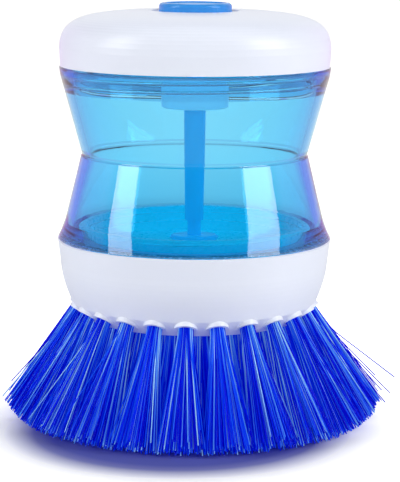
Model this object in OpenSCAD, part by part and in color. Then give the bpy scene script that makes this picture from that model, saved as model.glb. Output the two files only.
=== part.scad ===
// Palm dish brush with a screw-on soap reservoir, a push button and a spring valve over the bristles.
// The Z axis runs through the button and the valve. The trimmed bristle tips stand on z = 0.

/* [Brush base] */
// Height of the flat underside above the trimmed bristle tips
base_bottom_z = 25.4; // [23:0.2:28]
// Height of the base from its underside to its rim
base_h = 20; // [19:0.5:23]
// Radius of the rim that the reservoir stands on
base_rim_r = 34.4; // [34:0.1:36]
// How far the side stands in from the rim where it starts to round in
side_inset = 0.6; // [0:0.1:1.2]
// Height of the nearly upright band under the rim
rim_band_h = 5.3; // [4.5:0.1:6.5]
// How far the chamfer that carries the outer tufts stands in from the rim
foot_inset = 3.5; // [3:0.1:3.9]
// Width and height of that chamfer
foot_chamfer = 4.1; // [3.8:0.1:4.4]
// Height of the floor that the valve plate stands on
base_floor_h = 12.2; // [11.4:0.2:13]
// Wall of the base beside the valve plate
rim_wall = 2.2; // [1.8:0.1:2.6]
// Radius of the soap outlet in the middle
outlet_r = 5.4; // [5:0.1:5.8]

/* [Tuft plate] */
// Thickness of the plate that holds the tufts, welded into the base from below
tuft_plate_h = 9; // [8.6:0.1:9.6]
// How much that plate narrows between the chamfer and its top
tuft_plate_taper = 2.2; // [1.8:0.1:2.6]

/* [Valve seat] */
// Height of the bushing that is pressed through the base's floor into the tuft plate
bushing_h = 4; // [3.6:0.1:4.6]
// Wall of that bushing round the soap outlet
bushing_wall = 1.6; // [1.4:0.1:2.2]
// Depth of the pocket in the bushing that holds the valve seal
seal_pocket_h = 2.2; // [2:0.1:2.6]
// Thickness of the web that the seal closes against
seat_t = 1.6; // [1.2:0.1:1.6]

/* [Valve plate] */
// Width of the plate's land for the gasket, round the threaded spigot
seal_land_w = 3.1; // [2.8:0.1:3.4]
// Height of the spigot above the rim of the base
spigot_h = 3.4; // [3:0.1:4.4]
// Wall of the spigot at its foot
spigot_wall = 3.5; // [3.2:0.1:3.8]
// Width of each moulded ledge inside the spigot
ledge_w = 0.8; // [0.5:0.1:1]
// Depth of the upper ledge below the spigot's top
upper_ledge_drop = 1.5; // [1.2:0.1:1.8]
// Depth of the lower ledge below the spigot's top
lower_ledge_drop = 3.5; // [3:0.1:4]
// Thickness of the plate over the moulding groove in its underside
groove_roof_t = 2; // [1.6:0.1:2.6]
// Height of the cup floor at the spigot, above the floor
cup_edge_h = 5.2; // [4.2:0.1:5.6]
// Height of the cup floor at the spring pocket, above the floor
cup_inner_h = 2.8; // [2.2:0.1:3.4]

/* [Valve] */
// Radius of the mushroom head that the rod pushes on
head_r = 6.2; // [5.8:0.1:6.6]
// Height of the mushroom head
head_h = 2.4; // [2.2:0.1:3]
// Rounding of the head's edge
head_round = 0.7; // [0.4:0.1:1]
// Radius of the pin above the head
pin_r = 1.7; // [1.5:0.05:1.9]
// Length of pin that shows between the head and the rod
pin_show = 4; // [3.6:0.1:4.4]
// Radius over the four fins of the guided stem
fin_r = 2.5; // [2.3:0.05:2.7]
// Thickness of each fin
fin_t = 1.2; // [1:0.1:1.6]
// Radius of the valve seal
seal_r = 4.3; // [4:0.1:4.6]
// Thickness of the valve seal
seal_t = 1.4; // [1.2:0.1:1.6]
// Radius of the retainer under the seal
retainer_r = 3.2; // [2.8:0.1:3.6]
// Thickness of the retainer
retainer_t = 1.2; // [1:0.1:1.4]
// Radius of the stem end that carries the seal
stem_end_r = 1.5; // [1.3:0.05:1.6]
// How far the button and the valve travel
travel = 2; // [1.6:0.1:2.2]

/* [Springs] */
// Radius of the valve spring, to the middle of its wire
valve_coil_r = 4.4; // [4.2:0.05:4.5]
// Radius of the valve spring's wire
valve_wire_r = 0.3; // [0.25:0.01:0.32]
// Length of the valve spring at rest
valve_spring_h = 5.8; // [5.6:0.1:6.6]
// Curls of the valve spring
valve_curls = 3; // [2:1:3]
// Clearance round the valve spring in its pocket
pocket_clearance = 0.5; // [0.4:0.05:0.7]
// Radius of the button spring, to the middle of its wire
button_coil_r = 4.9; // [4.6:0.05:5.2]
// Radius of the button spring's wire
button_wire_r = 0.4; // [0.35:0.01:0.45]
// Curls of the button spring
button_curls = 7; // [5:1:8]

/* [Reservoir] */
// Height of the reservoir from the base's rim to the cap's edge
reservoir_h = 43.3; // [40:0.5:50]
// Depth of the waist below the cap's edge
waist_depth = 5.15; // [4.4:0.05:5.4]
// Height of the waist's lower edge above the base's rim
waist_low_h = 19.6; // [18:0.2:21]
// Height of the plain band round the waist
waist_band_h = 3.6; // [3:0.2:5]
// Height above the rim where the flared foot begins
foot_flare_h = 6.3; // [5.5:0.1:7]
// How far the flared foot stands out from where it begins
foot_flare_w = 2.25; // [1.8:0.05:2.6]
// Height over which the cone runs on into the flared foot
flare_reach = 3; // [2:0.1:4]
// How far the upper cone's end stands in from the cap's edge
top_band_inset = 0.2; // [0.1:0.1:0.6]
// Depth below the cap's edge where the upper cone ends
top_band_h = 2; // [1.4:0.1:2.8]
// Wall of the reservoir between its mouths
reservoir_wall = 2.2; // [1.8:0.1:2.6]
// Space for the thread between the spigot and the reservoir's mouth
thread_gap = 1.5; // [1.3:0.1:1.7]
// How much narrower the upper mouth is than the lower one
neck_inset = 0.1; // [0:0.1:0.4]
// Wall of the neck that stands up inside the cap
neck_wall = 1.5; // [1.4:0.1:1.6]
// Height of that neck above the cap's edge
neck_h = 4.3; // [3.6:0.1:5]

/* [Cap] */
// How far the cap's edge stands in from the base's rim
cap_inset = 0.4; // [0:0.1:1]
// Height of the cap above its lower edge
cap_h = 13.7; // [13:0.1:16]
// Squareness of the cap's shoulder: 2 is an ellipse, more is squarer
shoulder_power = 4.5; // [3.8:0.1:5]
// Wall of the cap
cap_wall = 1.8; // [1.6:0.1:2]
// Space for the thread between the skirt and the reservoir's neck
skirt_gap = 0.9; // [0.7:0.1:1.1]
// Wall of the threaded skirt
skirt_wall = 2.1; // [1.7:0.1:2.6]
// How far the skirt reaches below the cap's edge
skirt_drop = 1; // [0:0.1:1.6]
// Depth of the shallow ring pressed round the button
ring_depth = 0.35; // [0.2:0.05:0.5]
// Width of that ring
ring_w = 1.5; // [1:0.1:2]
// Rounding inside the cap between its roof and its skirt
roof_fillet = 3.5; // [2.5:0.1:4.5]

/* [Push button] */
// Radius of the button
button_r = 9.1; // [8.8:0.1:9.4]
// Height of the button above the cap
button_rise = 1.9; // [1.7:0.1:2.6]
// Rounding of the button's edge
button_edge = 0.9; // [0.6:0.1:1.2]
// Wall of the button
button_wall = 1.6; // [1.3:0.1:1.9]
// How far the button's flange is wider than the button
flange_w = 1.2; // [1:0.1:1.4]
// Thickness of that flange
flange_t = 1.4; // [1.2:0.1:1.8]
// Thickness of the cap over the flange
stop_t = 2.6; // [2.4:0.1:3]
// Width of the raised rim round the button's dished top
dish_rim_w = 1.8; // [1.2:0.1:2.4]
// Depth of the dish
dish_depth = 0.3; // [0.2:0.05:0.5]
// Clearance round the button
button_clearance = 0.3; // [0.2:0.05:0.4]

/* [Push rod] */
// Radius of the rod at its top
rod_r = 2.7; // [2.5:0.05:2.9]
// Radius of the rod at its lower end
rod_tip_r = 2.35; // [2.2:0.05:2.45]
// Depth of the socket in the rod's lower end
socket_h = 3.3; // [2.5:0.1:4]
// How far the rod is pressed into the button
rod_grip = 5.5; // [4.5:0.1:6]
// Wall of the button's boss round the rod
rod_boss_wall = 1.2; // [1:0.1:1.4]
// Depth of the rod's top below the button's roof
rod_drop = 0.7; // [0.5:0.1:1]

/* [Button guide] */
// Radius of the guide tube
guide_r = 8.4; // [8:0.1:8.8]
// Wall of the guide tube
guide_wall = 1.4; // [1.2:0.1:1.6]
// How far the guide reaches below the cap's edge
guide_drop = 10.3; // [9.5:0.1:11]
// Thickness of the guide's floor
guide_floor_t = 3.2; // [3:0.1:3.8]
// How far the guide's collar is wider than its plug
collar_w = 1.8; // [1.4:0.1:2]
// Thickness of that collar
collar_t = 1.4; // [1:0.1:1.8]
// Height of the collar's seat above the cap's edge
collar_h = 0.3; // [0:0.1:1]
// Radius of the section of the rod's seal ring
ring_section_r = 0.7; // [0.6:0.05:0.8]

/* [Gaskets and fits] */
// Thickness of the flat gaskets at both ends of the reservoir
gasket_t = 1; // [0.8:0.1:1.2]
// Clearance beside the gaskets
gasket_clearance = 0.3; // [0.2:0.05:0.4]
// Clearance at the end of a stroke
stroke_clearance = 0.2; // [0.1:0.05:0.3]
// Radial clearance of a sliding fit
sliding_fit = 0.08; // [0.05:0.01:0.1]
// Radial clearance of a pressed fit
press_fit = 0.02; // [0.01:0.01:0.03]

/* [Tufts] */
// Radius of the outer tufts' holes
tuft_hole_r = 2; // [1.9:0.05:2.1]
// Depth of the tuft holes
tuft_depth = 6; // [5:0.1:6.4]
// Clearance between a tuft's corners and its hole
tuft_clearance = 0.1; // [0.06:0.02:0.2]
// How far a tuft's plug stands out of its hole
plug_show = 0.2; // [0.1:0.05:0.3]
// Tufts in the outer ring and in the second ring
outer_count = 24; // [20:1:24]
// Angle of the first outer tuft
first_angle = 11.3; // [0:0.1:15]
// Tufts in the third ring
third_count = 16; // [12:1:16]
// Tufts in the inner ring
inner_count = 8; // [6:1:8]
// How far the outer tufts' roots stand in from the base's rim
outer_root_inset = 5.1; // [4.8:0.1:5.4]
// Height of that point above the underside
outer_root_h = 2; // [1.8:0.1:2.2]
// Tilt of the outer tufts
outer_tilt = 32; // [28:1:35]
// How far the second ring's roots stand in from the edge of the flat underside
second_root_inset = 2.2; // [2:0.1:2.6]
// Tilt of the second ring
second_tilt = 20; // [16:1:22]
// Tilt of the third ring
third_tilt = 10; // [8:1:12]
// Web between the inner ring's holes and the soap outlet
outlet_web = 3.2; // [2.8:0.1:3.8]
// Tilt of the inner ring
inner_tilt = 3; // [0:1:5]
// Wall of the raised lip round each outer tuft
lip_wall = 0.8; // [0.6:0.1:1]
// Thickness of the metal anchor that holds each tuft down
anchor_t = 0.4; // [0.3:0.05:0.5]
// Height of that anchor
anchor_h = 1; // [0.8:0.1:1.2]

/* [Bristle tips] */
// How far the outer tufts' tips stand out from their roots
outer_flare = 14.3; // [13.5:0.1:15.5]
// How far the second ring's tips stand out from their roots
second_flare = 9.2; // [8.6:0.1:9.8]
// How far the third ring's tips stand out from their roots
third_flare = 6; // [5.4:0.1:6.6]
// How far the inner ring's tips stand out from their roots
inner_flare = 1.2; // [0.6:0.1:1.8]
// Half the spread of an outer tuft's tips
outer_spread = 4.3; // [3.9:0.1:4.5]
// Half the spread of every other tuft's tips
inner_spread = 3.5; // [3.1:0.1:3.7]
// Height of the outermost tips above the floor
fringe_h = 7.5; // [5:0.5:9]

/* [Hidden] */
$fn = 96;

white = [0.91, 0.93, 0.97];
clear_blue = [0.3, 0.72, 0.93, 0.45];
rod_blue = [0.1, 0.62, 0.93];
bristle_blue = [0.05, 0.2, 0.85];
steel = [0.75, 0.77, 0.8];
silicone = [0.85, 0.88, 0.9];

// Small edge breaks and bevels
edge = 0.3;
// How far a cut runs past the face that it starts from
overcut = 1;

// Radii of the screwed joints, from the base's rim inwards
plate_seat_r = base_rim_r - rim_wall;
spigot_r = plate_seat_r - seal_land_w;
mouth_r = spigot_r + thread_gap;
neck_bore_r = mouth_r - neck_inset;
neck_r = neck_bore_r + neck_wall;
skirt_r = neck_bore_r - skirt_gap;
cap_r = base_rim_r - cap_inset;
cap_bore_r = cap_r - cap_wall;

// Heights and radii of the base and of its two plates
base_side_r = base_rim_r - side_inset;
base_foot_r = base_rim_r - foot_inset;
foot_z = base_bottom_z + foot_chamfer;
flat_r = base_foot_r - foot_chamfer;
rim_z = base_bottom_z + base_h;
floor_z = base_bottom_z + base_floor_h;
side_z = rim_z - rim_band_h;
tuft_top_z = base_bottom_z + tuft_plate_h;
tuft_top_r = base_foot_r - tuft_plate_taper;
bushing_r = outlet_r + bushing_wall;
bushing_bore_r = bushing_r + press_fit;
bushing_z = floor_z - bushing_h;
seat_z = bushing_z + seal_pocket_h;
pocket_z = seat_z + seat_t;
plate_top_z = rim_z - gasket_t;
spigot_top_z = rim_z + spigot_h;
plate_r = plate_seat_r - press_fit;
pocket_r = valve_coil_r + valve_wire_r + pocket_clearance;
stem_bore_r = fin_r + sliding_fit;
cup_r = spigot_r - spigot_wall;
upper_ledge_z = spigot_top_z - upper_ledge_drop;
lower_ledge_z = spigot_top_z - lower_ledge_drop;
groove_in_r = spigot_r + edge;
groove_out_r = plate_r - overcut;

// Heights of the valve
head_z = pocket_z + valve_spring_h;
head_top_z = head_z + head_h;
rod_end_z = head_top_z + pin_show;
pin_top_z = rod_end_z + socket_h - edge;
seal_z = seat_z - seal_t;
retainer_z = seal_z - retainer_t;
stem_end_z = retainer_z - edge;

// Heights and radii of the reservoir
shoulder_z = rim_z + reservoir_h;
neck_top_z = shoulder_z + neck_h;
waist_r = cap_r - waist_depth;
waist_low_z = rim_z + waist_low_h;
waist_top_z = waist_low_z + waist_band_h;
foot_flare_r = base_rim_r - foot_flare_w;
flare_z = rim_z + foot_flare_h;
top_band_r = cap_r - top_band_inset;
top_band_z = shoulder_z - top_band_h;
waist_bore_r = waist_r - reservoir_wall;
crease_step = 0.2;

// Heights and radii of the cap, its button and its guide
cap_top_z = shoulder_z + cap_h;
land_z = neck_top_z + gasket_t;
stop_z = cap_top_z - stop_t;
button_top_z = cap_top_z + button_rise;
button_hole_r = button_r + button_clearance;
flange_r = button_r + flange_w;
plug_bore_r = flange_r + button_clearance;
cap_boss_r = plug_bore_r + cap_wall;
collar_z = shoulder_z + collar_h;
guide_z = shoulder_z - guide_drop;
guide_floor_z = guide_z + guide_floor_t;
guide_top_z = stop_z - flange_t - travel - stroke_clearance;
guide_bore_r = guide_r - guide_wall;
rod_bore_r = rod_r + sliding_fit;
ring_mid_r = rod_bore_r + ring_section_r;
groove_r = ring_mid_r + ring_section_r + press_fit;
groove_half_h = ring_section_r + press_fit;
groove_z = guide_z + guide_floor_t / 2;
button_roof_z = button_top_z - button_wall;
rod_top_z = button_roof_z - rod_drop;

// Radii of the tufts' roots, and the plugs in their holes
outer_root_r = base_rim_r - outer_root_inset;
second_root_r = flat_r - second_root_inset;
inner_root_r = outlet_r + tuft_hole_r + outlet_web;
third_root_r = (second_root_r + inner_root_r) / 2;
plug_r = tuft_hole_r - tuft_clearance;
plug_depth = tuft_depth - anchor_h - tuft_clearance;

// Share of a plug's sector that a strand's foot covers, and the same for its tip
strand_share = 0.78;
tip_share = 0.62;

// Where a ring of tufts holds each of its values
ROOT_R = 0;
ROOT_Z = 1;
TILT = 2;
PLUG_END = 3;
FLARE = 4;
SPREAD = 5;
FRINGE = 6;
COUNT = 7;
FIRST = 8;
function lower_ring(root_r, tilt, flare, count, first) =
    [root_r, base_bottom_z, tilt, plug_r * tan(tilt) + plug_show, flare, inner_spread, 0, count, first];
outer_ring = [outer_root_r, base_bottom_z + outer_root_h, outer_tilt, plug_show, outer_flare,
    outer_spread, fringe_h, outer_count, first_angle];
second_ring = lower_ring(second_root_r, second_tilt, second_flare, outer_count,
    first_angle - 180 / outer_count);
third_ring = lower_ring(third_root_r, third_tilt, third_flare, third_count, 0);
inner_ring = lower_ring(inner_root_r, inner_tilt, inner_flare, inner_count, 0);

// Points of a smooth curve that leaves p towards c and reaches q from c
function curve(p, c, q, n = 8) =
    [for (i = [0:n]) let(t = i / n) (1 - t) ^ 2 * p + 2 * t * (1 - t) * c + t ^ 2 * q];

// Points of a rounded corner, as a quarter circle between two angles
function corner(cx, cz, r, a0, a1, n = 5) =
    [for (i = [0:n]) let(a = a0 + (a1 - a0) * i / n) [cx + r * cos(a), cz + r * sin(a)]];

// Height of the cap's outside at radius r, above the cap's lower edge
function cap_outline_h(r) = cap_h * (1 - (r / cap_r) ^ shoulder_power) ^ (1 / shoulder_power);

// The cap's outside from its lower edge to radius r_end
function cap_outline(r_end, n = 18) =
    let(last = acos((r_end / cap_r) ^ (shoulder_power / 2)))
    [for (i = [1:n]) let(a = last * i / n)
        [cap_r * cos(a) ^ (2 / shoulder_power),
         shoulder_z + cap_h * sin(a) ^ (2 / shoulder_power)]];

// The value at z on the straight line from (z0, r0) to (z1, r1)
function on_line(z, z0, r0, z1, r1) = r0 + (r1 - r0) * (z - z0) / (z1 - z0);

module turned(points) {
    rotate_extrude() polygon(points);
}

// Carries its children to the root of tuft i of a ring, with -Z pointing along the tuft
module at_tuft(ring, i) {
    rotate([0, 0, ring[FIRST] + i * 360 / ring[COUNT]])
        translate([ring[ROOT_R], 0, ring[ROOT_Z]])
            rotate([0, -ring[TILT], 0])
                children();
}

module tuft_holes(ring) {
    for (i = [0:ring[COUNT] - 1])
        at_tuft(ring, i)
            translate([0, 0, -4 * overcut])
                cylinder(r = tuft_hole_r, h = tuft_depth + 4 * overcut);
}

module base_shell() {
    // The side's curve is pulled towards this point, just inside the upright band's foot
    side_pull_r = base_side_r - edge;
    side_pull_z = (foot_z + side_z) / 2 + edge;
    turned(concat(
        [[bushing_bore_r, tuft_top_z], [tuft_top_r, tuft_top_z]],
        curve([base_foot_r, foot_z], [side_pull_r, side_pull_z], [base_side_r, side_z]),
        [[base_rim_r, rim_z - edge], [base_rim_r - edge, rim_z], [plate_seat_r, rim_z],
         [plate_seat_r, floor_z], [bushing_bore_r, floor_z]]));
}

module brush_base() {
    color(white)
        base_shell();
}

// A raised lip round each outer tuft, where it stands clear of the base
module tuft_lips() {
    difference() {
        for (i = [0:outer_count - 1])
            at_tuft(outer_ring, i)
                cylinder(r = tuft_hole_r + lip_wall, h = tuft_depth / 2);
        base_shell();
    }
}

module tuft_plate() {
    color(white)
        difference() {
            union() {
                turned([
                    [outlet_r, base_bottom_z],
                    [flat_r, base_bottom_z],
                    [base_foot_r, foot_z],
                    [tuft_top_r, tuft_top_z],
                    [bushing_bore_r, tuft_top_z],
                    [bushing_bore_r, bushing_z],
                    [outlet_r, bushing_z]]);
                tuft_lips();
            }
            tuft_holes(outer_ring);
            tuft_holes(second_ring);
            tuft_holes(third_ring);
            tuft_holes(inner_ring);
        }
}

module valve_seat() {
    color(white)
        turned([
            [stem_bore_r, seat_z],
            [outlet_r, seat_z],
            [outlet_r, bushing_z],
            [bushing_r, bushing_z],
            [bushing_r, floor_z],
            [pocket_r, floor_z],
            [pocket_r, pocket_z],
            [stem_bore_r, pocket_z]]);
}

module valve_plate() {
    color(white)
        turned([
            [pocket_r, floor_z],
            [groove_in_r, floor_z],
            [groove_in_r, plate_top_z - groove_roof_t],
            [groove_out_r, plate_top_z - groove_roof_t],
            [groove_out_r, floor_z],
            [plate_r, floor_z],
            [plate_r, plate_top_z],
            [spigot_r, plate_top_z],
            [spigot_r, spigot_top_z - edge],
            [spigot_r - edge, spigot_top_z],
            [cup_r + 2 * ledge_w + edge, spigot_top_z],
            [cup_r + 2 * ledge_w, spigot_top_z - edge],
            [cup_r + 2 * ledge_w, upper_ledge_z],
            [cup_r + ledge_w, upper_ledge_z],
            [cup_r + ledge_w, lower_ledge_z],
            [cup_r, lower_ledge_z],
            [cup_r, floor_z + cup_edge_h],
            [pocket_r, floor_z + cup_inner_h]]);
}

// A flat ring of the gasket's thickness standing on z
module gasket(r_in, r_out, z) {
    translate([0, 0, z])
        difference() {
            cylinder(r = r_out, h = gasket_t);
            translate([0, 0, -overcut])
                cylinder(r = r_in, h = gasket_t + 2 * overcut);
        }
}

module base_seal() {
    color(silicone)
        gasket(spigot_r + gasket_clearance, plate_seat_r - gasket_clearance, plate_top_z);
}

module reservoir() {
    // Points on the two cones: where the flare and the top band round into them, and where the
    // bore's walls are as thick as at the waist
    pull_z = flare_z - flare_reach;
    pull_r = on_line(pull_z, flare_z, foot_flare_r, waist_low_z, waist_r);
    band_z = top_band_z - top_band_h / 2;
    band_r = on_line(band_z, waist_top_z, waist_r, top_band_z, top_band_r);
    low_bore_z = on_line(mouth_r + reservoir_wall, foot_flare_r, flare_z, waist_r, waist_low_z);
    top_bore_z = on_line(neck_bore_r + reservoir_wall, waist_r, waist_top_z, top_band_r, top_band_z);
    color(clear_blue)
        turned(concat(
            [[mouth_r, rim_z], [base_rim_r - edge, rim_z]],
            curve([base_rim_r, rim_z + edge], [pull_r, pull_z], [foot_flare_r, flare_z], 5),
            [[waist_r, waist_low_z], [waist_r, waist_top_z], [waist_r + crease_step, waist_top_z + edge]],
            curve([band_r, band_z], [top_band_r, top_band_z], [cap_r, shoulder_z - edge], 4),
            [[cap_r - edge, shoulder_z], [neck_r, shoulder_z], [neck_r, neck_top_z],
             [neck_bore_r, neck_top_z], [neck_bore_r, top_bore_z], [waist_bore_r, waist_top_z],
             [waist_bore_r, waist_low_z], [mouth_r, low_bore_z]]));
}

module cap_seal() {
    color(silicone)
        gasket(skirt_r + gasket_clearance, cap_bore_r - gasket_clearance, neck_top_z);
}

module top_cap() {
    roof_z = cap_top_z - cap_wall;
    skirt_in_r = skirt_r - skirt_wall;
    skirt_root_z = shoulder_z + cap_outline_h(skirt_in_r) - cap_wall;
    fillet_r = skirt_in_r - roof_fillet;
    color(white)
        turned(concat(
            [[cap_bore_r, shoulder_z], [cap_r - edge, shoulder_z]],
            cap_outline(button_hole_r + ring_w),
            [[button_hole_r + ring_w - edge, cap_top_z - ring_depth],
             [button_hole_r + edge, cap_top_z - ring_depth],
             [button_hole_r, cap_top_z - ring_depth - edge],
             [button_hole_r, stop_z],
             [plug_bore_r, stop_z],
             [plug_bore_r, collar_z],
             [cap_boss_r, collar_z],
             [cap_boss_r, roof_z]],
            curve([fillet_r, shoulder_z + cap_outline_h(fillet_r) - cap_wall],
                [skirt_in_r, skirt_root_z], [skirt_in_r, skirt_root_z - roof_fillet], 4),
            [[skirt_in_r, shoulder_z - skirt_drop + edge],
             [skirt_in_r + edge, shoulder_z - skirt_drop],
             [skirt_r - edge, shoulder_z - skirt_drop],
             [skirt_r, shoulder_z - skirt_drop + edge],
             [skirt_r, land_z],
             [cap_bore_r, land_z]]));
}

module button_guide() {
    plug_out_r = plug_bore_r - press_fit;
    color(white)
        turned([
            [rod_bore_r, guide_z],
            [guide_r - edge, guide_z],
            [guide_r, guide_z + edge],
            [guide_r, collar_z - collar_t],
            [plug_out_r + collar_w, collar_z - collar_t],
            [plug_out_r + collar_w, collar_z],
            [plug_out_r, collar_z],
            [plug_out_r, guide_top_z],
            [button_r, guide_top_z],
            [guide_bore_r, collar_z],
            [guide_bore_r, guide_floor_z],
            [rod_bore_r, guide_floor_z],
            [rod_bore_r, groove_z + groove_half_h],
            [groove_r, groove_z + groove_half_h],
            [groove_r, groove_z - groove_half_h],
            [rod_bore_r, groove_z - groove_half_h]]);
}

module rod_seal() {
    color(silicone)
        rotate_extrude()
            translate([ring_mid_r, groove_z])
                circle(r = ring_section_r, $fn = 32);
}

module push_button() {
    dish_r = button_r - dish_rim_w;
    boss_out_r = rod_r + rod_boss_wall;
    color(rod_blue)
        turned(concat(
            [[0, rod_top_z + press_fit],
             [rod_r + press_fit, rod_top_z + press_fit],
             [rod_r + press_fit, rod_top_z - rod_grip],
             [boss_out_r, rod_top_z - rod_grip],
             [boss_out_r, button_roof_z],
             [button_r - button_wall, button_roof_z],
             [button_r - button_wall, stop_z - flange_t],
             [flange_r, stop_z - flange_t],
             [flange_r, stop_z],
             [button_r, stop_z]],
            corner(button_r - button_edge, button_top_z - button_edge, button_edge, 0, 90),
            [[dish_r + dish_depth, button_top_z],
             [dish_r, button_top_z - dish_depth],
             [0, button_top_z - dish_depth]]));
}

module push_rod() {
    color(rod_blue)
        turned([
            [0, rod_end_z + socket_h],
            [pin_r + sliding_fit, rod_end_z + socket_h],
            [pin_r + sliding_fit, rod_end_z],
            [rod_tip_r, rod_end_z],
            [rod_r, guide_z - travel - overcut],
            [rod_r, rod_top_z],
            [0, rod_top_z]]);
}

module valve_stem() {
    spring_seat_r = valve_coil_r + valve_wire_r + edge;
    fin_h = head_z - seat_z + edge;
    color(rod_blue)
        union() {
            turned(concat(
                [[0, head_z]],
                curve([spring_seat_r, head_z], [head_r, head_z + head_round],
                    [head_r, head_top_z - head_round], 5),
                [[head_r - head_round, head_top_z], [pin_r, head_top_z], [pin_r, pin_top_z - edge],
                 [pin_r - edge, pin_top_z], [0, pin_top_z]]));
            intersection() {
                translate([0, 0, seat_z])
                    cylinder(r = fin_r, h = fin_h);
                union() {
                    for (turn = [0, 90])
                        rotate([0, 0, turn])
                            translate([-fin_r, -fin_t / 2, seat_z])
                                cube([2 * fin_r, fin_t, fin_h]);
                }
            }
            translate([0, 0, stem_end_z])
                cylinder(r = stem_end_r, h = seat_z - stem_end_z + edge);
        }
}

// A disc pushed onto the stem's lower end
module stem_disc(r, h, z) {
    translate([0, 0, z])
        difference() {
            cylinder(r = r, h = h);
            translate([0, 0, -overcut])
                cylinder(r = stem_end_r + press_fit, h = h + 2 * overcut);
        }
}

module valve_seal() {
    color(silicone)
        stem_disc(seal_r, seal_t, seal_z);
}

module seal_retainer() {
    color(white)
        stem_disc(retainer_r, retainer_t, retainer_z);
}

// Middle line of a coil spring between z0 and z1: [angle, height, tilt of the wire, sideways step].
// Each end stands square on its seat for one wire diameter and then bends into the curls.
spring_steps = 8;
bend_steps = 3;
function spring_line(wire_r, curls, z0, z1) =
    let(bend = 2 * wire_r, low = z0 + 2 * wire_r + bend, high = z1 - 2 * wire_r - bend)
    concat(
        [[0, z0, 90, -bend]],
        [for (i = [0:bend_steps - 1]) let(a = 90 * i / bend_steps)
            [0, low - bend + bend * sin(a), 90 - a, -bend * cos(a)]],
        [for (i = [0:curls * spring_steps])
            [360 * i / spring_steps, low + (high - low) * i / (curls * spring_steps), 0, 0]],
        [for (i = [1:bend_steps]) let(a = 90 * i / bend_steps)
            [360 * curls, high + bend - bend * cos(a), a, bend * sin(a)]],
        [[360 * curls, z1, 90, bend]]);

function spring_middle(coil_r, s) =
    [coil_r * cos(s[0]) - s[3] * sin(s[0]), coil_r * sin(s[0]) + s[3] * cos(s[0]), s[1]];

function spring_points(coil_r, wire_r, line) =
    [for (s = line, k = [0:5])
        let(out = wire_r * cos(60 * k), up = wire_r * sin(60 * k),
            r = coil_r + out, side = s[3] - up * sin(s[2]))
        [r * cos(s[0]) - side * sin(s[0]), r * sin(s[0]) + side * cos(s[0]), s[1] + up * cos(s[2])]];

// Triangles of a tube of n rings of six points
function tube_faces(n) = concat(
    [for (k = [1:4]) [0, k + 1, k]],
    [for (i = [0:n - 2], k = [0:5])
        let(a = 6 * i + k, b = 6 * i + (k + 1) % 6) each [[a, b, a + 6], [b, b + 6, a + 6]]],
    [for (k = [1:4]) [6 * (n - 1), 6 * (n - 1) + k, 6 * (n - 1) + k + 1]]);

// Least gap between two stretches of one spring's wire, half a curl apart or more
function spring_gap(coil_r, wire_r, line) =
    let(m = [for (s = line) spring_middle(coil_r, s)], n = len(m), far = spring_steps / 2)
    min([for (i = [0:n - far - 1], j = [i + far:n - 1]) norm(m[i] - m[j])]) - 2 * wire_r;

module spring(coil_r, wire_r, line) {
    color(steel)
        polyhedron(spring_points(coil_r, wire_r, line), tube_faces(len(line)));
}

button_line = spring_line(button_wire_r, button_curls, guide_floor_z, button_roof_z);
valve_line = spring_line(valve_wire_r, valve_curls, pocket_z, head_z);
echo(button_spring_gap = spring_gap(button_coil_r, button_wire_r, button_line));
echo(valve_spring_gap = spring_gap(valve_coil_r, valve_wire_r, valve_line));

module button_spring() {
    spring(button_coil_r, button_wire_r, button_line);
}

module valve_spring() {
    spring(valve_coil_r, valve_wire_r, valve_line);
}

// Tufts. In a ring's own plane x points outwards, y sideways and z up. Each tuft is a six-sided
// plug whose end carries one three-sided strand on each of its six sectors.
function across(tilt, out, side) = [out * cos(tilt), side, out * sin(tilt)];
function along(ring, d) =
    [ring[ROOT_R] + d * sin(ring[TILT]), 0, ring[ROOT_Z] - d * cos(ring[TILT])];
function hexagon(ring, d) =
    [for (k = [0:5]) let(a = 60 * k + 30)
        along(ring, d) + across(ring[TILT], plug_r * cos(a), plug_r * sin(a))];

// Corners of strand k's foot, as [out, side] in the plug's end face
function sector(k) = [[0, 0], plug_r * [cos(60 * k - 30), sin(60 * k - 30)],
    plug_r * [cos(60 * k + 30), sin(60 * k + 30)]];
function middle(p) = (p[0] + p[1] + p[2]) / 3;

function strand_foot(ring, k) =
    let(s = sector(k), m = middle(s))
    [for (c = s) let(q = m + strand_share * (c - m))
        along(ring, ring[PLUG_END]) + across(ring[TILT], q[0], q[1])];

// Strand 0 is the outermost one, and its tip may stand above the others
function strand_tip(ring, k) =
    let(s = sector(k), m = middle(s),
        centre = [ring[ROOT_R] + ring[FLARE] + ring[SPREAD] * cos(60 * k), ring[SPREAD] * sin(60 * k),
            k == 0 ? ring[FRINGE] : 0])
    [for (c = s) let(q = tip_share * (c - m)) centre + [q[0], q[1], 0]];

// Halfway up, a strand still leans the way its hole does
function strand_bend(ring, k) =
    let(foot = strand_foot(ring, k), tip = strand_tip(ring, k),
        reach = norm(middle(tip) - middle(foot)) / 2,
        way = [sin(ring[TILT]), 0, -cos(ring[TILT])])
    [for (j = [0:2]) foot[j] / 4 + (foot[j] + reach * way) / 2 + tip[j] / 4];

function tuft_points(ring, bent) = concat(
    [along(ring, ring[PLUG_END])], hexagon(ring, ring[PLUG_END]),
    [along(ring, -plug_depth)], hexagon(ring, -plug_depth),
    [for (k = [0:5])
        each concat(strand_foot(ring, k), bent ? strand_bend(ring, k) : [], strand_tip(ring, k))]);

// Triangles between two rings of three points, from a to b
function band(a, b) = [for (j = [0:2]) let(n = (j + 1) % 3) each [[a[j], a[n], b[n]], [a[j], b[n], b[j]]]];

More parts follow.
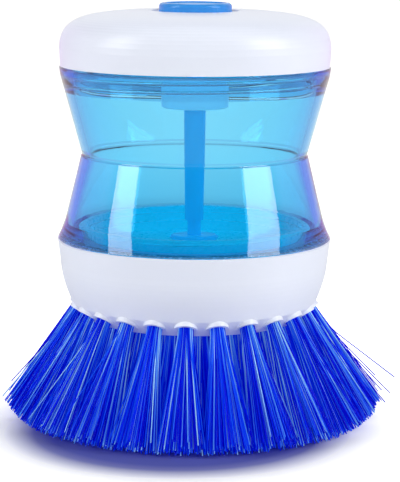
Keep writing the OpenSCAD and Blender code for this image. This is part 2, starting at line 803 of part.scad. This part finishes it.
function tuft_faces(bent) = let(levels = bent ? 3 : 2) concat(
    [for (k = [0:5]) let(n = (k + 1) % 6)
        each [[7, 8 + n, 8 + k], [1 + n, 1 + k, 8 + k], [1 + n, 8 + k, 8 + n]]],
    [for (k = [0:5])
        let(first = 14 + 3 * levels * k, foot = [first, first + 1, first + 2],
            rim = [0, 1 + (k + 5) % 6, 1 + k], top = first + 3 * (levels - 1))
        each concat(band(rim, foot),
            [for (v = [0:levels - 2]) each band([for (f = foot) f + 3 * v], [for (f = foot) f + 3 * v + 3])],
            [[top, top + 1, top + 2]])]);

function turned_point(p, a) = [p[0] * cos(a) - p[1] * sin(a), p[0] * sin(a) + p[1] * cos(a), p[2]];

module bristle_ring(ring, bent) {
    points = tuft_points(ring, bent);
    faces = tuft_faces(bent);
    count = ring[COUNT];
    color(bristle_blue)
        polyhedron(
            [for (i = [0:count - 1], p = points) turned_point(p, ring[FIRST] + i * 360 / count)],
            [for (i = [0:count - 1], f = faces) [for (v = f) v + i * len(points)]]);
}

module outer_bristles() {
    bristle_ring(outer_ring, true);
}

module second_bristles() {
    bristle_ring(second_ring, false);
}

module third_bristles() {
    bristle_ring(third_ring, false);
}

module inner_bristles() {
    bristle_ring(inner_ring, false);
}

// A flat strip on the end of each plug, across its hole
module ring_anchors(ring) {
    for (i = [0:ring[COUNT] - 1])
        at_tuft(ring, i)
            translate([-anchor_t / 2, -plug_r, plug_depth + press_fit])
                cube([anchor_t, 2 * plug_r, anchor_h]);
}

module tuft_anchors() {
    color(steel) {
        ring_anchors(outer_ring);
        ring_anchors(second_ring);
        ring_anchors(third_ring);
        ring_anchors(inner_ring);
    }
}

brush_base();
tuft_plate();
valve_seat();
valve_plate();
base_seal();
reservoir();
cap_seal();
top_cap();
button_guide();
rod_seal();
push_button();
push_rod();
button_spring();
valve_stem();
valve_seal();
seal_retainer();
valve_spring();
outer_bristles();
second_bristles();
third_bristles();
inner_bristles();
tuft_anchors();
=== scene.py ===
import math
import random

import bpy
from mathutils import Euler, Matrix, Vector


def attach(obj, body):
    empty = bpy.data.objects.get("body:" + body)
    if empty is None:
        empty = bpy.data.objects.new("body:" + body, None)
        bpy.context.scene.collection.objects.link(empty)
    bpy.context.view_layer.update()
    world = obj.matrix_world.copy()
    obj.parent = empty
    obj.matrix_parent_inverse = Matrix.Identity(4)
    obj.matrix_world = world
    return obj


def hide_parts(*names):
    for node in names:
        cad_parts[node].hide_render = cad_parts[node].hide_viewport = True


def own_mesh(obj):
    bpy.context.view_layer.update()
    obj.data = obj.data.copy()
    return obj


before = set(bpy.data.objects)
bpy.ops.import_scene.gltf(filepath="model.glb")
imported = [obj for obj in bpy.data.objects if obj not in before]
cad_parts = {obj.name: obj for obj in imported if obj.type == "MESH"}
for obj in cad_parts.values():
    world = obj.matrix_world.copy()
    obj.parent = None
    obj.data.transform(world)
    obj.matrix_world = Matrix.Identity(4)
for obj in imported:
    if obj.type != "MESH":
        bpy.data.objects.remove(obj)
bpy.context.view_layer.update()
mm = 0.001
print("frame loaded:", len(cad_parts), "nodes")


# Camera and lamps

view = {
    "place": (0, -511.6, 128.9),  # mm
    "down": 9.39,  # degrees below the horizon
    "aside": -0.168,  # degrees, so that the brush stands a little left of the middle
    "roll": 0.37,
    "lens": 153.0,  # mm, as the sensor's width
    "sensor": 36,
    "clip": (0.02, 60),  # metres
}

# Turn and lift are degrees round and above the brush, lean brings the upper edge closer. Shown is
# what glossy and clear surfaces see of the lamp, matt is what lights matt ones.
lamps = {
    "leftSoftbox": {
        "turn": -69, "lift": 32, "distance": 0.85, "size": (0.30, 0.64), "lean": 35,
        "shown": 6.5, "matt": 6.9,
    },
    "rightSoftbox": {
        "turn": 65, "lift": 32, "distance": 0.85, "size": (0.40, 0.64), "lean": 35,
        "shown": 6.5, "matt": 6.3,
    },
    "frontFill": {
        "turn": 0, "lift": 12, "distance": 1.2, "size": (1.4, 0.5), "lean": 0,
        "shown": 0, "matt": 1.5,
    },
    "topLight": {
        "turn": 180, "lift": 74, "distance": 0.9, "size": (0.4, 0.4), "lean": 0,
        "shown": 0, "matt": 3.9,
    },
}
lampAim = (0, 0, 60)  # mm
mattBehind = 0.03  # metres that the matt half of a lamp stands behind the shown one


def makeCamera():
    data = bpy.data.cameras.new("camera")
    data.lens = view["lens"]
    data.sensor_width = view["sensor"]
    data.clip_start, data.clip_end = view["clip"]
    camera = bpy.data.objects.new("camera", data)
    bpy.context.scene.collection.objects.link(camera)
    camera.location = Vector(view["place"]) * mm
    aim = Euler((math.radians(90 - view["down"]), 0, math.radians(view["aside"]))).to_matrix()
    roll = Matrix.Rotation(math.radians(view["roll"]), 3, "Z")
    camera.rotation_euler = (aim @ roll).to_euler()
    bpy.context.scene.camera = camera


def makeLamp(name, look, matt):
    width, height = look["size"]
    data = bpy.data.lights.new(name, "AREA")
    data.shape = "RECTANGLE"
    data.size = width
    data.size_y = height
    data.energy = look["matt" if matt else "shown"] * math.pi * width * height
    lamp = bpy.data.objects.new(name, data)
    bpy.context.scene.collection.objects.link(lamp)
    turn, lift = math.radians(look["turn"]), math.radians(look["lift"])
    way = Vector((math.sin(turn), -math.cos(turn), 0)) * math.cos(lift)
    way.z = math.sin(lift)
    distance = look["distance"] + (mattBehind if matt else 0)
    lamp.location = Vector(lampAim) * mm + way * distance
    lean = Matrix.Rotation(math.radians(look["lean"]), 3, "X")
    lamp.rotation_euler = ((-way).to_track_quat("-Z", "Y").to_matrix() @ lean).to_euler()
    lamp.visible_camera = False
    lamp.visible_diffuse = matt
    lamp.visible_glossy = not matt
    lamp.visible_transmission = not matt


# Shader maths

class Wire:  # a node's output; sums and products of wires and numbers add their Math nodes
    def __init__(self, shader, socket):
        self.shader = shader
        self.socket = socket

    def maths(self, operation, other=0):
        return self.shader.node("ShaderNodeMath", {"operation": operation}, {0: self, 1: other})

    def __add__(self, other):
        return self.maths("ADD", other)

    def __mul__(self, other):
        return self.maths("MULTIPLY", other)

    __radd__ = __add__
    __rmul__ = __mul__


class Shader:  # the node tree of a material or of the world
    def __init__(self, owner):
        owner.use_nodes = True
        self.owner = owner
        self.tree = owner.node_tree
        self.tree.nodes.clear()

    def node(self, kind, settings=None, inputs=None, output=0):
        made = self.tree.nodes.new(kind)
        for name, value in (settings or {}).items():
            if name == "stops":
                stops = made.color_ramp.elements
                while len(stops) < len(value):
                    stops.new(0.5)
                for stop, (place, colour) in zip(stops, value):
                    stop.position = place
                    stop.color = (*colour, 1)
            else:
                setattr(made, name, value)
        for name, value in (inputs or {}).items():
            if isinstance(value, Wire):
                self.tree.links.new(value.socket, made.inputs[name])
            else:
                made.inputs[name].default_value = value
        return Wire(self, made.outputs[output]) if made.outputs else None

    def blend(self, factor, first, second, kind="MIX"):
        colours = [c if isinstance(c, Wire) else (*c, 1) for c in (first, second)]
        settings = {"data_type": "RGBA", "blend_type": kind}
        return self.node("ShaderNodeMix", settings, {0: factor, 6: colours[0], 7: colours[1]}, 2)

    def place(self, stretch=(1, 1, 1), move=(0, 0, 0)):
        where = self.node("ShaderNodeTexCoord", output=3)
        inputs = {"Vector": where, "Location": move, "Scale": stretch}
        return self.node("ShaderNodeMapping", None, inputs)

    def part(self, vector, axis):  # 0, 1 or 2 for a vector's x, y or z
        return self.node("ShaderNodeSeparateXYZ", None, {"Vector": vector}, axis)

    def height(self):
        return self.part(self.place(), 2)

    def noise(self, scale, detail, stretch=(1, 1, 1)):
        inputs = {"Vector": self.place(stretch), "Scale": scale, "Detail": detail}
        return self.node("ShaderNodeTexNoise", None, inputs)

    def ramp(self, factor, *stops):
        return self.node("ShaderNodeValToRGB", {"stops": stops}, {"Fac": factor})

    def fade(self, factor, places, ends=(0, 1)):  # grey between two places
        return self.ramp(factor, *[(place, [end] * 3) for place, end in zip(places, ends)])

    def bump(self, height, distance, strength):
        return self.node("ShaderNodeBump", None,
                         {"Height": height, "Distance": distance, "Strength": strength})

    def principled(self, **inputs):
        named = {key.replace("_", " "): value for key, value in inputs.items()}
        return self.node("ShaderNodeBsdfPrincipled", None, named)

    def mix(self, factor, first, second):
        return self.node("ShaderNodeMixShader", None, {0: factor, 1: first, 2: second})

    def finish(self, surface, volume=None):
        world = isinstance(self.owner, bpy.types.World)
        inputs = {"Surface": surface}
        if volume:
            inputs["Volume"] = volume
        self.node("ShaderNodeOutputWorld" if world else "ShaderNodeOutputMaterial", None, inputs)
        return self.owner


def newShader(name):
    return Shader(bpy.data.materials.new(name))


def lightPath(shader, *names):  # 1 where a ray is any of these kinds
    outputs = shader.node("ShaderNodeLightPath").socket.node.outputs
    kinds = [Wire(shader, outputs[name]) for name in names]
    most = kinds[0]
    for kind in kinds[1:]:
        most = most.maths("MAXIMUM", kind)
    return most


# Surroundings: a white wall behind the brush and a dark room beside, in front and above. Glossy and
# clear surfaces see them; the camera sees white all round. A pair of numbers is where a change
# starts and ends; for the room they are parts of a direction of length 1.

room = {
    "fill": 0.14,  # how bright the room is for matt surfaces
    "dark": (0.10, 0.10, 0.34),
    "aside": (0.78, 0.48, 0.90),  # beside the white wall and the white paper
    "wallStart": (-0.16, 0.04),
    "wallTop": (0.45, 0.75),
    "wallSide": (0.26, 0.50),
}

paper = {  # metres
    "size": 12,
    "drop": 0.0001,
    "white": 0.92,
    "shade": (0.105, 0.12, 0.42),  # painted shadow: the paper's dark blue under the bristles
    "shadeMiddle": (-0.004, -0.020),
    "shadeEdge": (0.034, 0.044),
    "glowEdge": (0.036, 0.070),  # where the paper turns white for the camera
    "mirrored": (  # painted reflection: what glossy and clear surfaces see of it, a glow by the distance from the shade, dark near the brush as a painted shadow
        (0.045, (0.10, 0.11, 0.36)), (0.09, (0.55, 0.55, 0.6)), (0.5, (1, 1, 0.9)),
    ),
    "mirroredSide": (0.16, 0.34),
    "mirroredStrength": 1.22,
}


def sideways(shader, vector, places):  # white in the middle, the room's own colour to both sides
    across = shader.part(vector, 0).maths("ABSOLUTE")
    return shader.ramp(across, (places[0], (1, 1, 1)), (places[1], room["aside"]))


def makeWorld():
    world = bpy.data.worlds.new("studio")
    bpy.context.scene.world = world
    shader = Shader(world)
    way = shader.node("ShaderNodeTexCoord", output=0)
    start = [place * 0.5 + 0.5 for place in room["wallStart"]]
    wall = shader.fade(shader.part(way, 1) * 0.5 + 0.5, start)
    wall = wall * shader.fade(shader.part(way, 2), room["wallTop"], (1, 0))
    beside = sideways(shader, way, room["wallSide"])
    seen = shader.blend(wall, room["dark"], beside)
    mirrored = lightPath(shader, "Is Glossy Ray", "Is Transmission Ray")
    colour = shader.blend(mirrored, [room["fill"]] * 3, seen)
    colour = shader.blend(lightPath(shader, "Is Camera Ray"), colour, (1, 1, 1))
    shader.finish(shader.node("ShaderNodeBackground", None, {"Color": colour}))


def makeFloor():
    bpy.ops.object.select_all(action="DESELECT")
    bpy.ops.mesh.primitive_plane_add(size=paper["size"], location=(0, 0, -paper["drop"]))
    floor = bpy.context.active_object
    floor.name = "floor"
    shader = newShader("palePaper")
    x, y = paper["shadeMiddle"]
    distance = shader.node("ShaderNodeVectorMath", {"operation": "LENGTH"},
                           {0: shader.place(move=(-x, -y, 0))}, 1)
    # painted shadow: the paper darkens to a blue shade under the bristles
    paintedShadowMask = shader.fade(distance, paper["shadeEdge"], (1, 0))
    colour = shader.blend(paintedShadowMask, [paper["white"]] * 3, paper["shade"])
    matt = shader.node("ShaderNodeBsdfDiffuse", None, {"Color": colour})
    paintedGlow = shader.fade(distance, paper["glowEdge"])
    paintedGlow = shader.node("ShaderNodeEmission", None, {"Color": paintedGlow})
    both = shader.node("ShaderNodeAddShader", None, {0: matt, 1: paintedGlow})
    straight = shader.mix(lightPath(shader, "Is Camera Ray"), matt, both)
    # painted reflection: glossy and clear surfaces see the paper as a glow, dark near the brush as
    # a painted shadow and in the room's colour to the sides
    beside = sideways(shader, shader.place(), paper["mirroredSide"])
    paintedSweep = shader.blend(1.0, shader.ramp(distance, *paper["mirrored"]), beside, "MULTIPLY")
    paintedSweep = shader.node("ShaderNodeEmission", None,
                        {"Color": paintedSweep, "Strength": paper["mirroredStrength"]})
    mirrored = lightPath(shader, "Is Glossy Ray", "Is Transmission Ray")
    floor.data.materials.append(shader.finish(shader.mix(mirrored, straight, paintedSweep)))


# Moulded plastics and rubber

plastics = {  # paintedGlow is light painted on as emission: on the inner parts it stands for the light that the clear walls pass on to them, on the white outer parts it brightens them evenly
    "white": {
        "colour": (0.825, 0.865, 0.96), "shade": (0.80, 0.84, 0.94),
        "roughness": 0.26, "paintedGlow": 0.04,
    },
    # painted light: a white part coloured the blue of the light that reaches it through the clear
    # walls, and glowing
    "innerWhite": {
        "colour": (0.40, 0.80, 0.96), "shade": (0.36, 0.77, 0.94),
        "roughness": 0.31, "paintedGlow": 0.28,
    },
    "blue": {
        "colour": (0.045, 0.32, 0.80), "shade": (0.035, 0.28, 0.76),
        "roughness": 0.18, "paintedGlow": 0,
    },
    "rodBlue": {
        "colour": (0.0, 0.50, 0.80), "shade": (0.0, 0.45, 0.77),
        "roughness": 0.18, "paintedGlow": 0.25,
    },
    "cupBlue": {
        "colour": (0.0, 0.80, 0.88), "shade": (0.0, 0.70, 0.84),
        "roughness": 0.24, "paintedGlow": 0.12,
    },
    "silicone": {
        "colour": (0.75, 0.80, 0.85), "shade": (0.70, 0.75, 0.80),
        "roughness": 0.46, "paintedGlow": 0,
    },
}

moulding = {
    "cloudScale": 35, "cloudDetail": 3,  # slow changes of colour
    "grainScale": 900, "grainDetail": 2, "grainDepth": 0.00002, "grainStrength": 0.4,
    "roughnessSpread": 0.08,
    "specular": 0.25,
}


def mouldedPlastic(name):
    look = plastics[name]
    shader = newShader(name + "Plastic")
    cloud = shader.noise(moulding["cloudScale"], moulding["cloudDetail"])
    grain = shader.noise(moulding["grainScale"], moulding["grainDetail"])
    colour = shader.blend(cloud, look["colour"], look["shade"])
    rough = grain * moulding["roughnessSpread"] + look["roughness"]
    normal = shader.bump(grain, moulding["grainDepth"], moulding["grainStrength"])
    # the emission is painted glow, light that these parts are not given by the lamps
    return shader.finish(shader.principled(
        Base_Color=colour, Roughness=rough, Specular_IOR_Level=moulding["specular"], Normal=normal,
        Emission_Color=colour, Emission_Strength=look["paintedGlow"]))


# Clear blue plastic of the reservoir

clearPlastic = {
    "ior": 1.49,
    "density": 430.0,  # per metre
    "dye": (0.0, 0.728, 0.955),
    "roughness": 0.015,
    "colours": ((0.057, (0.83, 0.955, 0.985)), (0.066, (1, 1, 1))),  # by height in metres
    "bandScale": 14, "bandDetail": 2, "bandStretch": (1, 1, 22),
    "bandDepth": 0.00006, "bandStrength": 0.3,
    "lightPasses": 0.97,  # share of the light that each wall lets through to what is inside
}


def clearBlue():
    look = clearPlastic
    shader = newShader("clearBlue")
    bands = shader.noise(look["bandScale"], look["bandDetail"], look["bandStretch"])
    normal = shader.bump(bands, look["bandDepth"], look["bandStrength"])
    glass = shader.principled(
        Base_Color=shader.ramp(shader.height(), *look["colours"]), Roughness=look["roughness"],
        IOR=look["ior"], Transmission_Weight=1.0, Normal=normal)
    bare = shader.node("ShaderNodeBsdfTransparent", None,
                       {"Color": (*[look["lightPasses"]] * 3, 1)})
    surface = shader.mix(lightPath(shader, "Is Shadow Ray", "Is Diffuse Ray"), glass, bare)
    dye = shader.node("ShaderNodeVolumeAbsorption", None,
                      {"Color": (*look["dye"], 1), "Density": look["density"]})
    return shader.finish(surface, dye)


# Drawn steel of the springs and of the anchors in the tuft holes

wire = {
    "dark": (0.62, 0.64, 0.68), "light": (0.75, 0.77, 0.80),
    "scale": 1500, "detail": 2, "stretch": (1, 1, 0.2),
    "roughness": 0.22, "roughnessSpread": 0.15,
}


def springSteel():
    shader = newShader("springSteel")
    drawn = shader.noise(wire["scale"], wire["detail"], wire["stretch"])
    colour = shader.blend(drawn, wire["dark"], wire["light"])
    rough = drawn * wire["roughnessSpread"] + wire["roughness"]
    return shader.finish(shader.principled(Base_Color=colour, Metallic=1.0, Roughness=rough))


# Nylon filament

filament = {
    "colours": (  # by a strand's paleness; the palest, near-white colours are painted highlights
        (0.0, (0.0, 0.0, 0.64)), (0.3, (0.0, 0.0, 0.80)), (0.5, (0.0, 0.035, 0.95)),
        (0.68, (0.01, 0.15, 1.0)), (0.82, (0.13, 0.45, 1.0)), (0.93, (0.5, 0.85, 1.0)),
    ),
    "paleTipsAndPaintedRoots": (  # paler near the tips, and near the roots as a painted highlight, by height in metres
        (0.0, 0.09), (0.003, 0.0), (0.008, 0.0), (0.024, 0.13),
    ),
    # painted glow: emission that brightens the shaded strands deep in the tufts
    "paintedGlow": 0.14,
    "roughness": 0.24,
    "ior": 1.53,
    "specular": 0.12,
    "through": 0.35,  # share of the light that comes through a strand
    "darkThrough": (0.0, 0.0, 0.64),
    "middleThrough": (0.0, 0.03, 0.97),
    # the palest strands let through near-white light, part of their painted highlight
    "paleThrough": (0.4, 0.85, 1.0),
    "toMiddle": ((0.0, 0.0), (0.3, 0.5), (0.5, 1.0)),
    "toPale": ((0.5, 0.0), (0.68, 0.14), (0.82, 0.51), (0.93, 1.0)),
}


def bristleNylon():
    look = filament
    shader = newShader("bristleNylon")
    strand = shader.node("ShaderNodeAttribute", {"attribute_name": "paleness"}, output=2)
    # tone: the strand's paleness, paler near the tips and, as a painted highlight, near the roots
    tone = strand + shader.fade(shader.height(), *zip(*look["paleTipsAndPaintedRoots"]))
    colour = shader.ramp(tone, *look["colours"])
    gloss = shader.principled(
        Base_Color=colour, Roughness=look["roughness"], IOR=look["ior"],
        Specular_IOR_Level=look["specular"],
        Emission_Color=colour, Emission_Strength=look["paintedGlow"])
    dark, middle, pale = [
        shader.node("ShaderNodeBsdfTranslucent", None, {"Color": (*look[name], 1)})
        for name in ("darkThrough", "middleThrough", "paleThrough")]
    through = shader.mix(shader.fade(tone, *zip(*look["toMiddle"])), dark, middle)
    through = shader.mix(shader.fade(tone, *zip(*look["toPale"])), through, pale)
    return shader.finish(shader.mix(look["through"], gloss, through))


def dressNode(name, material):
    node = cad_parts[name]
    node.data.materials.clear()
    node.data.materials.append(material)


def selectOnly(piece):
    bpy.ops.object.select_all(action="DESELECT")
    piece.select_set(True)
    bpy.context.view_layer.objects.active = piece


# Reservoir: the same walls as the solid's, with the waist as one crease, and its threads

turnedWalls = {  # radius and height in mm
    "foot": ((34.4, 45.7), (32.89, 48.7), (32.15, 51.7)),
    "waist": ((28.56, 66.3), (28.10, 66.89), (28.55, 67.5)),
    "shoulder": ((33.53, 85.7), (33.8, 86.7), (34.0, 88.4)),
    "boreWaist": ((26.50, 68.07), (26.18, 66.89), (26.48, 65.7)),
    "neck": ((33.7, 88.7), (32.0, 88.7), (32.0, 93.0), (30.5, 93.0), (30.5, 82.7)),
    "mouth": ((30.6, 49.1), (30.6, 45.4), (34.1, 45.4)),
}

threads = {  # where each ridge runs and how far it stands out, in mm
    "neckThread": {"radius": 30.5, "low": 83.4, "turns": 3, "depth": 0.42},
    "spigotThread": {"radius": 29.1, "low": 46.0, "turns": 1, "depth": 0.26},
    "capThread": {"radius": 29.6, "low": 89.3, "turns": 2, "depth": 0.26},
}
threadPitch = 2.0

turning = {
    "steps": 144,
    "merge": 1e-6,  # metres
    "smoothAngle": 0.2,
}


def curve(points, count=6):
    first, pull, last = [Vector(point) for point in points]
    steps = [i / count for i in range(count + 1)]
    return [(1 - t) ** 2 * first + 2 * t * (1 - t) * pull + t * t * last for t in steps]


def turnOutline(name, outline, turns=1, rise=0.0):
    # a closed outline turned about the brush's axis; with a rise it climbs as a thread does
    bpy.ops.object.select_all(action="DESELECT")
    bpy.ops.mesh.primitive_circle_add(vertices=len(outline), fill_type="NOTHING")
    piece = bpy.context.active_object
    piece.name = name
    for vertex, (radius, height) in zip(piece.data.vertices, outline):
        vertex.co = (radius * mm, 0, height * mm)
    bpy.ops.object.modifier_add(type="SCREW")
    screw = piece.modifiers[-1]
    screw.steps = screw.render_steps = turning["steps"]
    screw.iterations = turns
    screw.screw_offset = rise * mm
    screw.use_merge_vertices = rise == 0
    screw.merge_threshold = turning["merge"]
    bpy.ops.object.modifier_apply(modifier=screw.name)
    bpy.ops.object.mode_set(mode="EDIT")
    bpy.ops.mesh.select_all(action="SELECT")
    bpy.ops.mesh.remove_doubles(threshold=turning["merge"])
    bpy.ops.mesh.fill_holes(sides=8)  # a thread's two ends
    bpy.ops.mesh.select_all(action="SELECT")
    bpy.ops.mesh.normals_make_consistent(inside=False)
    bpy.ops.object.mode_set(mode="OBJECT")
    bpy.ops.object.shade_smooth_by_angle(angle=turning["smoothAngle"])
    return piece


def makeThread(name, material):
    look = threads[name]
    radius, low, depth = look["radius"], look["low"], look["depth"]
    ridge = [(radius - depth, low), (radius, low - depth),
             (radius + depth, low), (radius, low + depth)]
    thread = turnOutline(name, ridge, look["turns"], threadPitch)
    thread.data.materials.append(material)
    return thread


def makeReservoir(material):
    walls = turnedWalls
    outline = curve(walls["foot"]) + curve(walls["waist"]) + curve(walls["shoulder"], 5)
    outline += [*walls["neck"], *curve(walls["boreWaist"]), *walls["mouth"]]
    shell = turnOutline("clearReservoir", outline)
    shell.data.materials.append(material)
    thread = makeThread("neckThread", material)
    selectOnly(shell)
    thread.select_set(True)
    bpy.ops.object.join()
    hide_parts("reservoir")
    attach(shell, "reservoir")
    print(shell.name, len(shell.data.polygons), "faces")


# Springs: copies of the solids, each attached to its body

springs = {
    "button_spring": {"body": "cap", "joint": "button_press"},
    "valve_spring": {"body": "base", "joint": "valve_travel"},
}


def makeSpring(name, look, material):
    spring = bpy.data.objects.new(name.replace("_", "-"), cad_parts[name].data.copy())
    bpy.context.scene.collection.objects.link(spring)
    spring.data.materials.clear()
    spring.data.materials.append(material)
    selectOnly(spring)
    bpy.ops.object.mode_set(mode="EDIT")
    bpy.ops.mesh.select_all(action="SELECT")
    bpy.ops.mesh.remove_doubles(threshold=turning["merge"])
    bpy.ops.object.mode_set(mode="OBJECT")
    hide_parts(name)
    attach(spring, look["body"])
    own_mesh(spring)


# Bristles: every ring of tufts replaces its plain solid, strand by strand

bristles = {  # mm
    "thickness": 0.27,
    "holeRadius": 2.0,
    "sink": 1.0,  # how far each strand starts inside its hole
    "lean": 0.35,  # how far a tip strays from its place in the fan
    "stray": 0.10,  # share of the strands that lean across their neighbours
    "strayLean": 1.8,
    "uneven": 0.75,  # how far cut ends stand above the plane
    "bend": (0.12, 0.17),  # where a strand leaves the tuft's tilt, as a share of its length
    "fringePower": 1.5,
    "steps": (0.0, 0.2, 0.5, 1.0),
    "rings": {  # spread is outwards and sideways, fringe lifts the outermost tips
        "outer_bristles": {
            "root": (29.3, 27.4), "tilt": 32, "tip": 43.6, "spread": (4.3, 6.2), "fringe": 4,
            "count": 24, "first": 11.3, "strands": 150,
        },
        "second_bristles": {
            "root": (24.6, 25.4), "tilt": 20, "tip": 33.8, "spread": (3.5, 4.6), "fringe": 0,
            "count": 24, "first": 3.8, "strands": 100,
        },
        "third_bristles": {
            "root": (17.6, 25.4), "tilt": 10, "tip": 23.6, "spread": (3.5, 3.5), "fringe": 0,
            "count": 16, "first": 0, "strands": 90,
        },
        "inner_bristles": {
            "root": (10.6, 25.4), "tilt": 3, "tip": 11.8, "spread": (3.5, 3.5), "fringe": 0,
            "count": 8, "first": 0, "strands": 90,
        },
    },
    "loose": (  # single strands that stand out: tuft, then where each ends
        (0, (51.8, 3, 8.6)), (23, (50.3, -2, 5.6)), (0, (48.8, 5, 4.6)), (23, (48.9, -4, 3.6)),
        (0, (49.0, 7, 1.4)), (1, (46.8, 12, 0.3)), (11, (-46.8, 3, 7.0)),
    ),
    "looseBend": 9,
}

paleness = {  # neighbours in a tuft are alike, so that light and dark bundles show; the tone differs at random, and its palest strands are painted highlights
    "bundles": 2,
    "bundleShare": 0.52,
    "strandShare": 0.44,
    "loose": 0.2,
}


def tuftTurn(ring, tuft):
    return Matrix.Rotation(math.radians(ring["first"] + tuft * 360 / ring["count"]), 3, "Z")


def tuftWay(ring):
    tilt = math.radians(ring["tilt"])
    return Vector((math.sin(tilt), 0, -math.cos(tilt)))


def strandCurve(root, bend, tip):
    return [(1 - t) ** 2 * root + 2 * t * (1 - t) * bend + t * t * tip for t in bristles["steps"]]


def strandLine(ring, share, turn, dice):
    # from inside the hole, along its tilt, then almost straight to a tip on the trimmed plane
    way = tuftWay(ring)
    out = Vector((-way.z, 0, way.x))
    side = Vector((0, 1, 0))
    inHole = (bristles["holeRadius"] - bristles["thickness"]) * share
    root = Vector((ring["root"][0], 0, ring["root"][1])) - way * bristles["sink"]
    root += out * inHole * math.cos(turn) + side * inHole * math.sin(turn)
    lean = bristles["strayLean"] if dice.random() < bristles["stray"] else bristles["lean"]
    outward, across = ring["spread"]
    tip = Vector((ring["tip"] + outward * share * math.cos(turn),
                  across * share * math.sin(turn), 0))
    tip += Vector((dice.gauss(0, lean), dice.gauss(0, lean), 0))
    edge = max(0, (tip.length - ring["tip"]) / outward)
    tip.z = ring["fringe"] * edge ** bristles["fringePower"]
    tip.z += abs(dice.gauss(0, bristles["uneven"]))
    bend = root + way * (tip - root).length * dice.uniform(*bristles["bend"])
    return strandCurve(root, bend, tip)


def looseLine(ring, tuft, tip):
    turned = tuftTurn(ring, tuft)
    root = turned @ Vector((ring["root"][0], 0, ring["root"][1] + bristles["sink"]))
    bend = root + turned @ tuftWay(ring) * bristles["looseBend"]
    return strandCurve(root, bend, Vector(tip))


def ringLines(name, ring, dice):
    golden = math.pi * (3 - math.sqrt(5))  # spreads the strands evenly over the hole
    lines = []
    pale = []
    for tuft in range(ring["count"]):
        phase = dice.uniform(0, 2 * math.pi)
        turned = tuftTurn(ring, tuft)
        for k in range(ring["strands"]):
            share = math.sqrt((k + 0.5) / ring["strands"])
            turn = k * golden + tuft
            lines.append([turned @ place for place in strandLine(ring, share, turn, dice)])
            bundle = 0.5 + 0.5 * math.sin(paleness["bundles"] * turn + phase)
            pale.append(paleness["strandShare"] * dice.random() + paleness["bundleShare"] * bundle)
    if name == "outer_bristles":
        lines += [looseLine(ring, tuft, tip) for tuft, tip in bristles["loose"]]
        pale += [paleness["loose"]] * len(bristles["loose"])
    return lines, pale


def makeBristles(name, ring, material, dice):
    data = bpy.data.curves.new(name, "CURVE")
    data.dimensions = "3D"
    data.bevel_depth = bristles["thickness"] / 2 * mm
    data.bevel_resolution = 0
    data.use_fill_caps = True
    lines, pale = ringLines(name, ring, dice)
    for line in lines:
        spline = data.splines.new("POLY")
        spline.points.add(len(line) - 1)
        for point, place in zip(spline.points, line):
            point.co = (*(place * mm), 1)
    curves = bpy.data.objects.new(name, data)
    bpy.context.scene.collection.objects.link(curves)
    selectOnly(curves)
    bpy.ops.object.convert(target="MESH")
    tufts = bpy.context.active_object
    tufts.name = name.replace("_", "-")
    each = len(tufts.data.vertices) // len(lines)
    shade = tufts.data.attributes.new("paleness", "FLOAT", "POINT")
    shade.data.foreach_set("value", [value for value in pale for _ in range(each)])
    tufts.data.materials.append(material)
    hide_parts(name)
    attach(tufts, "base")
    print(tufts.name, len(tufts.data.polygons), "faces")


makeCamera()
for name, look in lamps.items():
    makeLamp(name, look, True)
    if look["shown"]:
        makeLamp(name + "Shown", look, False)
makeWorld()
makeFloor()
print("camera, lamps and floor done")

plain = {name: mouldedPlastic(name) for name in plastics}
clear = clearBlue()
steel = springSteel()
nylon = bristleNylon()
finishes = {
    "brush_base": plain["white"], "tuft_plate": plain["white"], "valve_seat": plain["white"],
    "valve_plate": plain["cupBlue"], "top_cap": plain["white"], "button_guide": plain["innerWhite"],
    "seal_retainer": plain["white"], "reservoir": clear, "push_button": plain["blue"],
    "push_rod": plain["rodBlue"], "valve_stem": plain["rodBlue"], "base_seal": plain["silicone"],
    "cap_seal": plain["silicone"], "rod_seal": plain["silicone"], "valve_seal": plain["silicone"],
    "button_spring": steel, "valve_spring": steel, "tuft_anchors": steel,
}
for name, material in finishes.items():
    dressNode(name, material)
print("materials done")

makeReservoir(clear)
for name, body, finish in (("spigotThread", "base", "cupBlue"), ("capThread", "cap", "white")):
    thread = makeThread(name, plain[finish])
    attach(thread, body)
for name, look in springs.items():
    makeSpring(name, look, steel)
print("reservoir, threads and springs done")

dice = random.Random(7)
for name, ring in bristles["rings"].items():
    makeBristles(name, ring, nylon, dice)

bpy.context.scene.view_settings.view_transform = "Standard"
